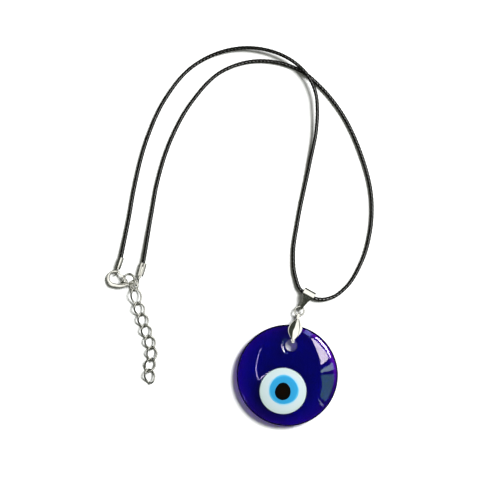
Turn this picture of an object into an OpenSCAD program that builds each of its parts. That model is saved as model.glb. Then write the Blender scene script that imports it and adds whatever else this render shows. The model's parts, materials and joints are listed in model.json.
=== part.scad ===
// Glass eye pendant on a waxed cord, lying flat, with a pinch clip, a small ring,
// a tapered cord bail, two folded cord ends, a lobster clasp and an extender chain.
// Millimetres. Origin: centre of the glass's flat back. +Y runs up to its hole, +Z out of its front.

/* [Glass] */
// outside diameter of the glass
glass_d = 40; // [30:1:60]
// thickness at the middle
glass_t = 7; // [5:0.5:10]
// height of the widest line above the flat back
glass_rim_z = 2.6; // [1.5:0.1:4]
// radius of the flat part of the back
glass_flat_r = 8; // [5:0.5:9]
// radius of the hanging hole
hole_r = 2.4; // [1.6:0.1:3]
// radius of the white of the eye
white_r = 9.3; // [6:0.05:11]
// radius of the light blue ring's outside
blue_r = 5.9; // [4:0.1:7]
// radius of the pupil
pupil_r = 3.25; // [2:0.05:4]

/* [Clip and bail] */
// length of the clip's front leaf
leaf_l = 8.5; // [6:0.5:10]
// width of the clip's front leaf
leaf_w = 5.6; // [4:0.2:7]
// sheet thickness of the clip
clip_t = 0.4; // [0.3:0.05:0.6]
// width of the clip's neck
neck_w = 1.5; // [1.2:0.1:2]
// centre line radius of the small ring
ring_r = 1.8; // [1.6:0.1:2.4]
// wire radius of the small ring
ring_wire_r = 0.35; // [0.25:0.05:0.4]
// width of the bail along the cord
bail_w = 4.85; // [3:0.05:6]
// wall of the bail
bail_t = 0.5; // [0.4:0.05:0.7]

/* [Cord and ends] */
// diameter of the waxed cord
cord_d = 1.5; // [1:0.1:1.5]
// width of a folded cord end
crimp_w = 2.6; // [2.4:0.1:3]
// thickness of a folded cord end
crimp_h = 2.1; // [2:0.1:2.4]

/* [Clasp and chain] */
// centre line radius of the clasp's hook
hook_r = 2.75; // [2.5:0.05:3]
// wire radius of the clasp's hook
hook_wire_r = 0.5; // [0.4:0.05:0.55]
// centre distance from one chain link to the next
link_pitch = 4.6; // [4.5:0.05:4.7]
// wire radius of a chain link
link_wire_r = 0.35; // [0.3:0.05:0.4]

/* [Hidden] */
$fn = 64;
table_z = -0.5;
clip_at = [-0.22, 11.92, 0];
clip_turn = -2.1;
neck_y = 12.09;
ring_z = 1.45;
ring_at = [0.29, 25.71, ring_z];
bail_turn = -19;
bail_at = [2.73, 32.8, ring_z];
tip_y = -5.78;
// route of the cord, from the left end over the top, down through the bail and back
route = [
    [-72.82, 32.6, 0.99], [-72.44, 49.96, 0.25], [-72.42, 62.64, 0.25], [-70.7, 83.22, 0.25],
    [-66.63, 98.86, 0.25], [-58.05, 113.75, 0.3], [-48.6, 121.01, 0.9], [-36.25, 124.98, 1.6],
    [-18.01, 121.82, 2.2], [-12.11, 117.47, 2.4], [-8.16, 111.28, 2.5], [-6.4, 104.63, 2.4],
    [-5.58, 98.15, 1.9], [-5.75, 83.75, 0.8], [-6.41, 59.68, 0.25], [-5.96, 48.03, 0.35],
    [-3.64, 39.18, 0.6], [-0.1, 33.8, 0.85], [2.73, 32.8, 0.9], [5.6, 31.8, 0.85],
    [12.55, 33.62, 0.4], [16.38, 37.53, 0.25], [21.14, 48.74, 0.25], [22.51, 61.91, 0.25],
    [21.14, 73.2, 0.25], [12.77, 92.67, 0.25], [1.22, 107.96, 0.25], [-7.32, 115, 0.25],
    [-14.21, 119.02, 0.25], [-21.96, 120.93, 0.25], [-35.14, 119.9, 0.25], [-46.14, 114.02, 0.25],
    [-55.71, 100.33, 0.25], [-61.24, 84.64, 0.25], [-63.82, 66.03, 0.25], [-63.92, 53.67, 0.3],
    [-63.75, 38.5, 0.95], [-63.72, 32.3, 1.2]
];
left_end_at = [-72.76, 33.3, 0.99];
left_end_turn = -98.4;
right_end_at = [-63.65, 33.2, 1.2];
right_end_turn = -95.5;
right_loop_at = [-64.91, 25.76, 2.06];
right_loop_roll = -67.8;
join_at = [-65.76, 24.41, 1.34];
join_turn = -78;
join_roll = 41.9;
side_at = [-67.85, 26.65, 1.24];
side_turn = -50;
side_roll = -39.1;
clasp_at = [-73.8, 25.9, 0.8];
clasp_turn = -8.4;
clasp_tilt = -6.1;
tail_x = 7.15;
tail_roll = 40;
rivet_x = 4.2;
rivet_y = 0.1;
first_at = [-64.26, 20.3, 1.37];
first_turn = -70;
first_half = 3.45;
link_half = 2.8;
link_side = 1.95;
// headings of the chain links after the first, and the level that they lie at
turns = [-60, -64, -62, -62, -80, -98, -66];
chain_z = [1.1, 0.85, 0.75, 0.75, 0.75, 0.75, 0.75];
steel = [0.78, 0.78, 0.76];

// small vector helpers and sweeps
function unit(v) = v / norm(v);
function front_z(r) = glass_rim_z + (glass_t - glass_rim_z) * sqrt(max(0, 1 - pow(r / (glass_d / 2), 2)));
function back_z(r) = r <= glass_flat_r ? 0
    : glass_rim_z * (1 - sqrt(max(0, 1 - pow((r - glass_flat_r) / (glass_d / 2 - glass_flat_r), 2))));
function heading(p, i) =
    let(n = len(p) - 1, a = max(i - 1, 0), b = min(i + 1, n))
    i == 0 || i == n ? unit(p[b] - p[a])
    : unit(unit(p[i] - p[a]) * norm(p[b] - p[i]) + unit(p[b] - p[i]) * norm(p[i] - p[a]));
function hermite(p, q, u, v, t) =
    let(l = norm(q - p))
    p * (2 * t * t * t - 3 * t * t + 1) + u * l * (t * t * t - 2 * t * t + t)
    + q * (3 * t * t - 2 * t * t * t) + v * l * (t * t * t - t * t);
function smooth(p, steps) = [
    for (i = [0 : len(p) - 2]) for (s = [0 : steps - 1])
        hermite(p[i], p[i + 1], heading(p, i), heading(p, i + 1), s / steps),
    p[len(p) - 1]
];
function ring_of(c, t, u, r, n) =
    let(v = cross(t, u))
    [for (k = [0 : n - 1]) c + r * (u * cos(360 * k / n) + v * sin(360 * k / n))];

module open_tube(p, r, n) {
    m = len(p);
    rings = [
        for (i = [0 : m - 1])
            let(t = heading(p, i), u = unit(cross([0, 0, 1], t)))
            each ring_of(p[i], t, u, r, n)
    ];
    sides = [
        for (i = [0 : m - 2]) for (k = [0 : n - 1])
            [i * n + k, (i + 1) * n + k, (i + 1) * n + (k + 1) % n, i * n + (k + 1) % n]
    ];
    first = [[for (k = [0 : n - 1]) k]];
    last = [[for (k = [n - 1 : -1 : 0]) (m - 1) * n + k]];
    polyhedron(rings, concat(sides, first, last), convexity = 10);
}

module closed_tube(p, r, n) {
    m = len(p);
    rings = [
        for (i = [0 : m - 1])
            let(t = unit(p[(i + 1) % m] - p[(i + m - 1) % m]), u = unit(p[i] - t * (p[i] * t)))
            each ring_of(p[i], t, u, r, n)
    ];
    sides = [
        for (i = [0 : m - 1]) for (k = [0 : n - 1])
            [i * n + k, ((i + 1) % m) * n + k, ((i + 1) % m) * n + (k + 1) % n, i * n + (k + 1) % n]
    ];
    polyhedron(rings, sides, convexity = 10);
}

// a round ring whose plane holds the heading, rolled about it
module wire_ring(at, turn, roll, r, wire) {
    translate(at) rotate([0, 0, turn]) rotate([roll, 0, 0])
        rotate_extrude(angle = 360) translate([r, 0]) circle(wire, $fn = 32);
}

module twisted_link(half) {
    p = [
        for (k = [0 : 27])
            let(a = 360 * k / 28, x = half * cos(a), y = link_side * sin(a), w = 45 * x / half)
            [x, y * cos(w), y * sin(w)]
    ];
    closed_tube(p, link_wire_r, 8);
}

// the glass and its inlaid eye
module glass_blank() {
    n = 24;
    rotate_extrude() polygon(concat(
        [[0, 0], [glass_flat_r, 0]],
        [for (i = [1 : 10]) let(r = glass_flat_r + (glass_d / 2 - glass_flat_r) * sin(9 * i)) [r, back_z(r)]],
        [for (i = [1 : n - 1]) let(r = glass_d / 2 * cos(90 * i / n)) [r, front_z(r)]],
        [[0, glass_t]]
    ));
}

module blob(r, stretch, lobes, lean, from_z) {
    translate([0, 0, from_z]) linear_extrude(10) polygon([
        for (a = [0 : 10 : 350])
            let(q = r * (1 + stretch * cos(2 * a) + lobes * cos(3 * a + lean)))
            [q * cos(a), q * sin(a)]
    ]);
}

module white_cut() {
    translate([-0.72, -6.2, 4.4]) cylinder(r = white_r, h = 10);
}

module blue_cut() {
    translate([-0.5, -5.65, 0]) blob(blue_r, -0.02, 0.03, 40, 4.9);
}

module pupil_cut() {
    translate([-0.75, -6.32, 0]) blob(pupil_r, -0.075, 0.02, 90, 5.4);
}

module hole_cut() {
    translate([-0.57, 11.92, 0]) rotate_extrude() polygon([
        [0, -1], [hole_r + 1.3, -1], [hole_r + 0.9, 0.2], [hole_r + 0.4, 0.6], [hole_r + 0.1, 1.1],
        [hole_r, 1.8], [hole_r, 4.6], [hole_r + 0.1, 5.2], [hole_r + 0.4, 5.75],
        [hole_r + 0.9, 6.15], [hole_r + 1.6, 6.5], [hole_r + 1.6, 9], [0, 9]
    ]);
}

module glass_disc() {
    color([0.03, 0.02, 0.45]) difference() {
        glass_blank();
        hole_cut();
        white_cut();
    }
}

module eye_white() {
    color([0.88, 0.93, 0.94]) difference() {
        intersection() {
            glass_blank();
            white_cut();
        }
        blue_cut();
    }
}

module eye_blue() {
    color([0.2, 0.62, 0.82]) difference() {
        intersection() {
            glass_blank();
            blue_cut();
        }
        pupil_cut();
    }
}

module eye_pupil() {
    color([0.05, 0.04, 0.03]) intersection() {
        glass_blank();
        pupil_cut();
    }
}

// the clip: one strip, folded through the small ring, with a leaf on each side of the glass
function side_of(p, i) =
    let(t = unit(p[min(i + 1, len(p) - 1)] - p[max(i - 1, 0)])) [-t[1], t[0]];

module strip(p) {
    rotate([90, 0, 90]) translate([0, 0, -4]) linear_extrude(8) polygon(concat(
        [for (i = [0 : len(p) - 1]) p[i] + side_of(p, i) * clip_t / 2],
        [for (i = [len(p) - 1 : -1 : 0]) p[i] - side_of(p, i) * clip_t / 2]
    ));
}

module leaf_outline() {
    edge = [[0.12, -0.1], [0.4, 0.24], [0.72, 0.42], [0.94, 0.52], [1, 0.57], [0.96, 0.65], [0.8, 0.75], [0.52, 0.87], [0.3, 0.98]];
    right = [for (e = edge) [e[0] * leaf_w / 2, 1.93 + e[1] * leaf_l]];
    left = [for (i = [len(right) - 1 : -1 : 0]) [-right[i][0], right[i][1]]];
    translate([0, 0, -2]) linear_extrude(12) polygon(concat(right, left));
    translate([-0.6, 1.2, -2]) cube([1.2, 2.4, 12]);
    translate([-neck_w / 2, 9.4, -2]) cube([neck_w, 4.4, 12]);
}

module pinch_clip() {
    low = 0.65 + clip_t / 2;
    front = [[9.7, 3.85], [8.6, 4.55], [7.2, 5.2], [5.8, 5.72], [4.3, 6.15], [3, 6.42], [1.25, 6.6]];
    neck = concat(
        [for (a = [0 : 15 : 180]) [neck_y + low * sin(a), ring_z - low * cos(a)]],
        [[11.4, 2.6], [10.5, 3.25], [9.5, 3.98]]
    );
    rear = [[1.3, -0.3], [5, -0.3], [6.8, -0.22], [8.5, 0], [10, 0.3], [11.2, 0.53], [12.15, 0.6]];
    color(steel) translate(clip_at) rotate([0, 0, clip_turn]) intersection() {
        union() {
            for (s = [-1, 1]) intersection() {
                rotate([0, 10 * s, 0]) strip(front);
                translate([s > 0 ? 0 : -5, 0, 2]) cube([5, 9.9, 8]);
            }
            strip(neck);
            strip(rear);
            translate([-0.5, 1.3, 3.9]) cube([1, clip_t, 2.65]);
            translate([-0.5, 1.3, -0.3]) cube([1, clip_t, 2.6]);
        }
        leaf_outline();
    }
}

module clip_ring() {
    color(steel) wire_ring(ring_at, 0, 0, ring_r, ring_wire_r);
}

// the outline of two circles wrapped by a band, the second one at [0, y]
module drop(r1, r2, y) {
    a = asin((r1 - r2) / abs(y));
    circle(r1);
    translate([0, y]) circle(r2);
    polygon([
        [-r1 * cos(a), -r1 * sin(a)], [r1 * cos(a), -r1 * sin(a)],
        [r2 * cos(a), y - r2 * sin(a)], [-r2 * cos(a), y - r2 * sin(a)]
    ]);
}

module cord_bail() {
    inner = 1.45;
    half = bail_w / 2;
    color(steel) translate(bail_at) rotate([0, 0, bail_turn]) intersection() {
        rotate([90, 0, 90]) translate([0, 0, -half]) linear_extrude(bail_w) rotate([0, 0, -90])
            difference() {
                drop(inner + bail_t, 0.65 + clip_t, tip_y);
                drop(inner, 0.65, tip_y);
            }
        translate([0, 0, -5]) linear_extrude(10) polygon([
            [-half + 0.1, 2.2], [half - 0.1, 2.2], [half, 0.8], [half, -0.6],
            [half - 0.5, -1.4], [1.5, -2.6], [0.8, -5.5], [0.6, -7],
            [-0.6, -7], [-0.8, -5.5], [-1.5, -2.6], [-half + 0.5, -1.4],
            [-half, -0.6], [-half, 0.8]
        ]);
    }
}

module cord() {
    color([0.07, 0.07, 0.07]) open_tube(smooth(route, 2), cord_d / 2, 8);
}

// a cord end: a flattened tube with a slot along it, then a neck to the wire loop. It runs along +X
module folded_end(slot_roll) {
    l = 3.7;
    rotate([slot_roll, 0, 0]) difference() {
        intersection() {
            rotate([0, 90, 0]) cylinder(r = crimp_w / 2, h = l);
            translate([0, -crimp_w / 2, -crimp_h / 2]) cube([l, crimp_w, crimp_h]);
        }
        translate([-1, 0, 0]) rotate([0, 90, 0]) cylinder(r = 0.82, h = l + 0.4);
        translate([-1, -0.17, 0]) cube([l + 0.4, 0.34, 3]);
    }
}

module left_crimp() {
    color(steel) translate(left_end_at) rotate([0, 0, left_end_turn]) {
        folded_end(90);
        translate([4.74, 0, 0]) rotate([90, 0, 0]) rotate_extrude() translate([1.25, 0]) circle(0.24, $fn = 32);
    }
}

module right_crimp() {
    color(steel) {
        translate(right_end_at) rotate([0, 0, right_end_turn]) {
            folded_end(0);
            translate([3.3, -0.5, -0.3]) cube([2.6, 0.8, 0.6]);
        }
        translate([-64.28, 27.9, 0.9]) rotate([0, 0, -106]) rotate([0, -26, 0])
            translate([-0.4, -0.4, 0]) cube([1.5, 0.8, 0.6]);
        wire_ring(right_loop_at, right_end_turn, right_loop_roll, 1.3, 0.3);
    }
}

module join_ring() {
    color(steel) wire_ring(join_at, join_turn, join_roll, 2, 0.375);
}

module clasp_ring() {
    color(steel) wire_ring(side_at, side_turn, side_roll, 2.25, 0.3);
}

// the clasp: head at the origin, tail along +X, gate on the +Y side
module clasp_place() {
    translate(clasp_at) rotate([0, 0, clasp_turn]) rotate([0, clasp_tilt, 0]) children();
}

module clasp_body() {
    color(steel) clasp_place() {
        difference() {
            union() {
                rotate([0, 0, 42]) rotate_extrude(angle = 253) translate([hook_r, 0]) circle(hook_wire_r, $fn = 32);
                translate([0, 0, -0.65]) linear_extrude(1.3) polygon([
                    [0.9, -3.1], [2.2, -2.85], [3.7, -2.1], [4.9, -1.3], [5.5, -0.5], [5.4, 0.5],
                    [4.2, 0.2], [3.5, -0.7], [2.6, -1.7], [1.1, -2.3]
                ]);
                translate([rivet_x, rivet_y, -0.8]) cylinder(r = 1.1, h = 1.6);
                translate([5.2, -0.35, -0.35]) cube([1, 0.7, 0.7]);
            }
            translate([rivet_x, rivet_y, -2]) cylinder(r = 0.35, h = 4);
            translate([rivet_x, rivet_y, -0.4]) cylinder(r = 0.95, h = 0.8);
            translate([1.8, 0.1, -0.4]) cube([3.2, 3, 0.8]);
            translate([2, -0.6, -0.4]) cube([1.6, 1, 0.8]);
        }
        translate([tail_x, 0, 0]) rotate([tail_roll, 0, 0]) rotate_extrude() translate([1.05, 0]) circle(0.3, $fn = 32);
    }
}

module clasp_lever() {
    color(steel) clasp_place() difference() {
        translate([0, 0, -0.3]) linear_extrude(0.6) union() {
            translate([rivet_x, rivet_y]) circle(0.8);
            polygon([
                [4.9, 0.5], [4.6, 1], [3.9, 1.5], [3.6, 2.1], [3.1, 2.35], [2.95, 1.95],
                [2.62, 2.15], [2.4, 1.2], [3, 0.85], [3.6, 0]
            ]);
        }
        translate([rivet_x, rivet_y, -2]) cylinder(r = 0.4, h = 4);
    }
}

module clasp_spring() {
    color(steel) clasp_place() translate([3.6, -0.9, 0]) rotate([0, 0, 112])
        rotate_extrude(angle = 116) translate([1, 0]) circle(0.12, $fn = 24);
}

module clasp_rivet() {
    color(steel) clasp_place() translate([rivet_x, rivet_y, -0.85]) cylinder(r = 0.35, h = 1.7);
}

// chain links: each one starts where the one before it ends
function sum_to(i) = i < 0 ? [0, 0] : sum_to(i - 1) + link_pitch * [cos(turns[i]), sin(turns[i])];
first_pivot = [first_at[0], first_at[1]]
    + (first_half - 0.5) * [cos(first_turn), sin(first_turn)];

module later_link(i) {
    here = first_pivot + sum_to(i) - link_pitch / 2 * [cos(turns[i]), sin(turns[i])];
    color(steel) translate([here[0], here[1], chain_z[i]]) rotate([0, 0, turns[i]]) twisted_link(link_half);
}

module chain_link_1() {
    color(steel) translate(first_at) rotate([0, 0, first_turn]) twisted_link(first_half);
}

module chain_link_2() {
    later_link(0);
}

module chain_link_3() {
    later_link(1);
}

module chain_link_4() {
    later_link(2);
}

module chain_link_5() {
    later_link(3);
}

module chain_link_6() {
    later_link(4);
}

module chain_link_7() {
    later_link(5);
}

module chain_link_8() {
    later_link(6);
}

glass_disc();
eye_white();
eye_blue();
eye_pupil();
pinch_clip();
clip_ring();
cord_bail();
cord();
left_crimp();
right_crimp();
join_ring();
clasp_ring();
clasp_body();
clasp_lever();
clasp_spring();
clasp_rivet();
chain_link_1();
chain_link_2();
chain_link_3();
chain_link_4();
chain_link_5();
chain_link_6();
chain_link_7();
chain_link_8();
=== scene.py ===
"""Glass eye pendant on a waxed cord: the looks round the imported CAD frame.

Lengths in the tables are millimetres in the CAD frame; MM turns them into Blender's metres.
"""

import json
import math

import bmesh
import bpy
from mathutils import Matrix, Vector

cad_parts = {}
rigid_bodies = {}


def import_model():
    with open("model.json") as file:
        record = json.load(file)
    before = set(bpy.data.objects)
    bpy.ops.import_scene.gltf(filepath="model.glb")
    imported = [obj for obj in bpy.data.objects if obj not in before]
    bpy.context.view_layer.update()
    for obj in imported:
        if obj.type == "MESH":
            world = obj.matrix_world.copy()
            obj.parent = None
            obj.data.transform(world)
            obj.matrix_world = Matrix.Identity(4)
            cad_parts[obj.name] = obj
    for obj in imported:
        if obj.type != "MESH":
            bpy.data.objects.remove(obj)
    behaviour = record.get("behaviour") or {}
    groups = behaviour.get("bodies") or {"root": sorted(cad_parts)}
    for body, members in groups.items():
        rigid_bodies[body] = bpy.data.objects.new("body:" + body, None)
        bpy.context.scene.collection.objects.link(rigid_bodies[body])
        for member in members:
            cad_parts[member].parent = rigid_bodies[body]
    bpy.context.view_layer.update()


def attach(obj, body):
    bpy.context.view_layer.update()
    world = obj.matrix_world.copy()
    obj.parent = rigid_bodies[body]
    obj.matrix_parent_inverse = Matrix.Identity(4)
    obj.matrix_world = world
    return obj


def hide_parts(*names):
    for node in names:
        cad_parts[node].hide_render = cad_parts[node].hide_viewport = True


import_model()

MM = 0.001

# ---------------------------------------------------------------- camera
CAMERA_AT = (-23.10, 46.15, 800.0)
CAMERA_TURN = math.radians(10)
FIELD_WIDTH = 198.0
SENSOR = 36.0

camera_data = bpy.data.cameras.new("camera")
camera_data.sensor_width = SENSOR
camera_data.lens = SENSOR * CAMERA_AT[2] / FIELD_WIDTH
camera_data.clip_start, camera_data.clip_end = 0.01, 10
camera = bpy.data.objects.new("camera", camera_data)
camera.location = Vector(CAMERA_AT) * MM
camera.rotation_euler = (0, 0, CAMERA_TURN)
bpy.context.scene.collection.objects.link(camera)
bpy.context.scene.camera = camera
bpy.context.scene.view_settings.view_transform = "Standard"


# ---------------------------------------------------------------- mesh helpers
def add_mesh(name, points, faces, material, smooth=True):
    """A mesh object from points in millimetres."""
    mesh = bpy.data.meshes.new(name)
    mesh.from_pydata([Vector(p) * MM for p in points], [], faces)
    mesh.validate()
    tidy = bmesh.new()
    tidy.from_mesh(mesh)
    bmesh.ops.recalc_face_normals(tidy, faces=tidy.faces)
    tidy.to_mesh(mesh)
    tidy.free()
    mesh.polygons.foreach_set("use_smooth", [smooth] * len(mesh.polygons))
    mesh.materials.append(material)
    piece = bpy.data.objects.new(name, mesh)
    bpy.context.scene.collection.objects.link(piece)
    return piece


def place(piece, body, slot, *nodes):
    """The piece stands for the CAD nodes and rides on their body. The slot is not used."""
    if nodes:
        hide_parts(*nodes)
    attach(piece, body)
    return piece


def bevel(piece, width, segments=2, angle=35):
    """Rounds the piece's edges sharper than the angle, and keeps its flats flat."""
    modifier = piece.modifiers.new("edges", "BEVEL")
    modifier.width = width * MM
    modifier.segments = segments
    modifier.limit_method = "ANGLE"
    modifier.angle_limit = math.radians(angle)
    modifier.harden_normals = True
    return piece


def rotated(points, *turns):
    """Points turned about X, Y or Z in the given order, each turn an axis letter and degrees."""
    matrix = Matrix.Identity(3)
    for axis, degrees in turns:
        matrix = Matrix.Rotation(math.radians(degrees), 3, axis) @ matrix
    return [matrix @ Vector(p) for p in points]


def moved(points, at):
    """Points shifted by at."""
    return [Vector(p) + Vector(at) for p in points]


def polar(radius, angle):
    """The point at a radius and an angle in radians."""
    return radius * math.cos(angle), radius * math.sin(angle)


def toward(degrees):
    """The level direction that many degrees from +X."""
    return Vector((*polar(1, math.radians(degrees)), 0))


def full_turn(count):
    """Evenly spaced angles round a circle, in radians."""
    return [2 * math.pi * k / count for k in range(count)]


def join_parts(*parts):
    """One mesh from several (points, faces) pairs."""
    points, faces = [], []
    for some, some_faces in parts:
        faces.extend(tuple(v + len(points) for v in f) for f in some_faces)
        points.extend(some)
    return points, faces


def grid_faces(rows, columns, close_rows=False, close_columns=True):
    """Quads over a grid of points stored row after row."""
    faces = []
    for i in range(rows if close_rows else rows - 1):
        for j in range(columns if close_columns else columns - 1):
            a, b = i * columns, (i + 1) % rows * columns
            k = (j + 1) % columns
            faces.append((a + j, a + k, b + k, b + j))
    return faces


def sweep(points, section, closed=False, up=(0, 0, 1)):
    """Sweeps a section, (side, up) pairs given per point by section(i), along the points."""
    points = [Vector(p) for p in points]
    n = len(points)
    rows, columns = [], None
    side = None
    for i, p in enumerate(points):
        if closed:
            heading = (points[(i + 1) % n] - points[i - 1]).normalized()
        else:
            heading = (points[min(i + 1, n - 1)] - points[max(i - 1, 0)]).normalized()
        lift = Vector(up(i) if callable(up) else up)
        side = lift.cross(heading).normalized()
        top = heading.cross(side)
        shape = section(i)
        columns = len(shape)
        rows.extend(p + side * a + top * b for a, b in shape)
    faces = grid_faces(n, columns, close_rows=closed)
    if not closed:
        faces.append(tuple(range(columns)))
        faces.append(tuple(range((n - 1) * columns, n * columns)))
    return rows, faces


def circle(radius, sides, flat=1.0):
    """A round section, or an oval one where flat isn't 1."""
    turn = 2 * math.pi / sides
    return [
        (radius * math.cos(turn * k), flat * radius * math.sin(turn * k))
        for k in range(sides)
    ]


RING_GAP = 0.05
CUT_END = 0.9


def ring_points(radius, wire, gap_at=None, gap=0.0, steps=96, sides=20):
    """A wire ring in the XY plane, cut open by a thin gap where gap_at says, in degrees."""
    if gap_at is None:
        path = [(*polar(radius, a), 0) for a in full_turn(steps)]
        return sweep(path, lambda i: circle(wire, sides), closed=True)
    half = gap / 2 / radius
    start = math.radians(gap_at) + half
    span = 2 * math.pi - 2 * half
    path = [(*polar(radius, start + span * k / steps), 0) for k in range(steps + 1)]
    ends = (0, steps)
    return sweep(path, lambda i: circle(wire * (CUT_END if i in ends else 1), sides))


def wire_ring(name, at, turn, roll, radius, wire, material, gap_at=None):
    """A ring of wire, rolled about X, then turned about Z and moved to its place."""
    points, faces = ring_points(radius, wire, gap_at, RING_GAP)
    points = moved(rotated(points, ("X", roll), ("Z", turn)), at)
    return add_mesh(name, points, faces, material)


def headings(points):
    """The direction of a smooth line at each point, weighted towards the shorter side."""
    found = []
    last = len(points) - 1
    for i, p in enumerate(points):
        if i in (0, last):
            a, b = points[max(i - 1, 0)], points[min(i + 1, last)]
            found.append((b - a).normalized())
            continue
        before, after = p - points[i - 1], points[i + 1] - p
        found.append(
            (before.normalized() * after.length + after.normalized() * before.length).normalized()
        )
    return found


def smooth_line(points, step):
    """A smooth line through the points, with a point about every step."""
    points = [Vector(p) for p in points]
    ways = headings(points)
    line = []
    for p, q, u, v in zip(points, points[1:], ways, ways[1:]):
        length = (q - p).length
        pieces = max(2, round(length / step))
        for k in range(pieces):
            t = k / pieces
            line.append(
                p * (2 * t**3 - 3 * t**2 + 1)
                + u * length * (t**3 - 2 * t**2 + t)
                + q * (3 * t**2 - 2 * t**3)
                + v * length * (t**3 - t**2)
            )
    line.append(points[-1])
    return line


# ---------------------------------------------------------------- materials
def new_material(name):
    """A material with its nodes, links and main shader."""
    material = bpy.data.materials.new(name)
    material.use_nodes = True
    nodes = material.node_tree.nodes
    return material, nodes, material.node_tree.links, nodes["Principled BSDF"]


def set_inputs(shader, **values):
    """Sets shader sockets by name, with an underscore for each space."""
    for name, value in values.items():
        shader.inputs[name.replace("_", " ")].default_value = value


def noise(nodes, links, scale, detail):
    """Cloudy noise over the piece, with scale features to the metre."""
    node = nodes.new("ShaderNodeTexNoise")
    node.inputs["Scale"].default_value = scale
    node.inputs["Detail"].default_value = detail
    coordinates = nodes.new("ShaderNodeTexCoord").outputs["Object"]
    links.new(coordinates, node.inputs["Vector"])
    return node


def ramp(nodes, links, value, stops):
    """Colours along a value: stops are (place, colour) pairs."""
    node = nodes.new("ShaderNodeValToRGB")
    links.new(value, node.inputs["Fac"])
    elements = node.color_ramp.elements
    while len(elements) < len(stops):
        elements.new(0.5)
    for element, (place_on, colour) in zip(elements, stops):
        element.position = place_on
        element.color = (*colour, 1)
    return node.outputs["Color"]


def bump(nodes, links, height, distance, strength, shader):
    """Fine relief on the surface, distance in millimetres."""
    node = nodes.new("ShaderNodeBump")
    node.inputs["Distance"].default_value = distance * MM
    node.inputs["Strength"].default_value = strength
    links.new(height, node.inputs["Height"])
    links.new(node.outputs["Normal"], shader.inputs["Normal"])


def metal_material(name, low, high):
    """Bright plating, with faint uneven tint and polish."""
    material, nodes, links, shader = new_material(name)
    set_inputs(shader, Metallic=1.0)
    cloud = noise(nodes, links, 700, 4)
    tints = [(0.3, (0.80, 0.79, 0.74)), (0.7, (0.90, 0.895, 0.86))]
    tint = ramp(nodes, links, cloud.outputs["Fac"], tints)
    links.new(tint, shader.inputs["Base Color"])
    levels = [(0.35, (low,) * 3), (0.75, (high,) * 3)]
    polish = ramp(nodes, links, cloud.outputs["Fac"], levels)
    links.new(polish, shader.inputs["Roughness"])
    fine = noise(nodes, links, 2500, 2)
    bump(nodes, links, fine.outputs["Fac"], 0.02, 0.08, shader)
    return material


def cobalt_material():
    """Clear cobalt glass: its colour comes from how far light goes through it."""
    material, nodes, links, shader = new_material("cobalt_glass_clear")
    set_inputs(shader, Base_Color=(1, 1, 1, 1), Roughness=0.0, IOR=1.5)
    shader.inputs["Transmission Weight"].default_value = 1.0
    ripple = noise(nodes, links, 150, 1)
    bump(nodes, links, ripple.outputs["Fac"], 0.02, 0.012, shader)
    depth = nodes.new("ShaderNodeVolumeAbsorption")
    depth.inputs["Color"].default_value = (0.70, 0.012, 0.953, 1)
    depth.inputs["Density"].default_value = 1900
    links.new(depth.outputs["Volume"], nodes["Material Output"].inputs["Volume"])
    return material


def opaque_glass(name, stops, centre, reach):
    """Opaque glass of the eye: colours run outward from the centre with an uneven edge."""
    material, nodes, links, shader = new_material(name)
    set_inputs(shader, Roughness=0.4, IOR=1.5)
    shader.inputs["Specular IOR Level"].default_value = 0.0
    shader.inputs["Coat Weight"].default_value = 1.0
    shader.inputs["Coat Roughness"].default_value = 0.01
    place_node = nodes.new("ShaderNodeTexCoord")
    shift = nodes.new("ShaderNodeVectorMath")
    shift.operation = "SUBTRACT"
    shift.inputs[1].default_value = Vector((*centre, 0)) * MM
    links.new(place_node.outputs["Object"], shift.inputs[0])
    flat = nodes.new("ShaderNodeVectorMath")
    flat.operation = "MULTIPLY"
    flat.inputs[1].default_value = (1 / (reach * MM), 1 / (reach * MM), 0)
    links.new(shift.outputs[0], flat.inputs[0])
    distance = nodes.new("ShaderNodeVectorMath")
    distance.operation = "LENGTH"
    links.new(flat.outputs[0], distance.inputs[0])
    wander = noise(nodes, links, 420, 2)
    nudge = nodes.new("ShaderNodeMath")
    nudge.operation = "MULTIPLY_ADD"
    links.new(wander.outputs["Fac"], nudge.inputs[0])
    nudge.inputs[1].default_value = 0.08
    links.new(distance.outputs["Value"], nudge.inputs[2])
    links.new(ramp(nodes, links, nudge.outputs[0], stops), shader.inputs["Base Color"])
    return material


def cord_material():
    """Black waxed yarn: waxy shine, with fine fibres and paler rubbed places."""
    material, nodes, links, shader = new_material("waxed_black_cord")
    set_inputs(shader, Specular_IOR_Level=0.6, IOR=1.5)
    fibre = noise(nodes, links, 3500, 3)
    blacks = [(0.3, (0.0015, 0.0015, 0.0012)), (0.8, (0.009, 0.0085, 0.007))]
    links.new(ramp(nodes, links, fibre.outputs["Fac"], blacks), shader.inputs["Base Color"])
    wax = noise(nodes, links, 900, 2)
    shine = [(0.3, (0.08,) * 3), (0.7, (0.22,) * 3)]
    links.new(ramp(nodes, links, wax.outputs["Fac"], shine), shader.inputs["Roughness"])
    bump(nodes, links, fibre.outputs["Fac"], 0.05, 0.3, shader)
    return material


WHITE_AT = (-0.72, -6.2)
BLUE_AT = (-0.5, -5.65)
PUPIL_AT = (-0.75, -6.32)

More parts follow.
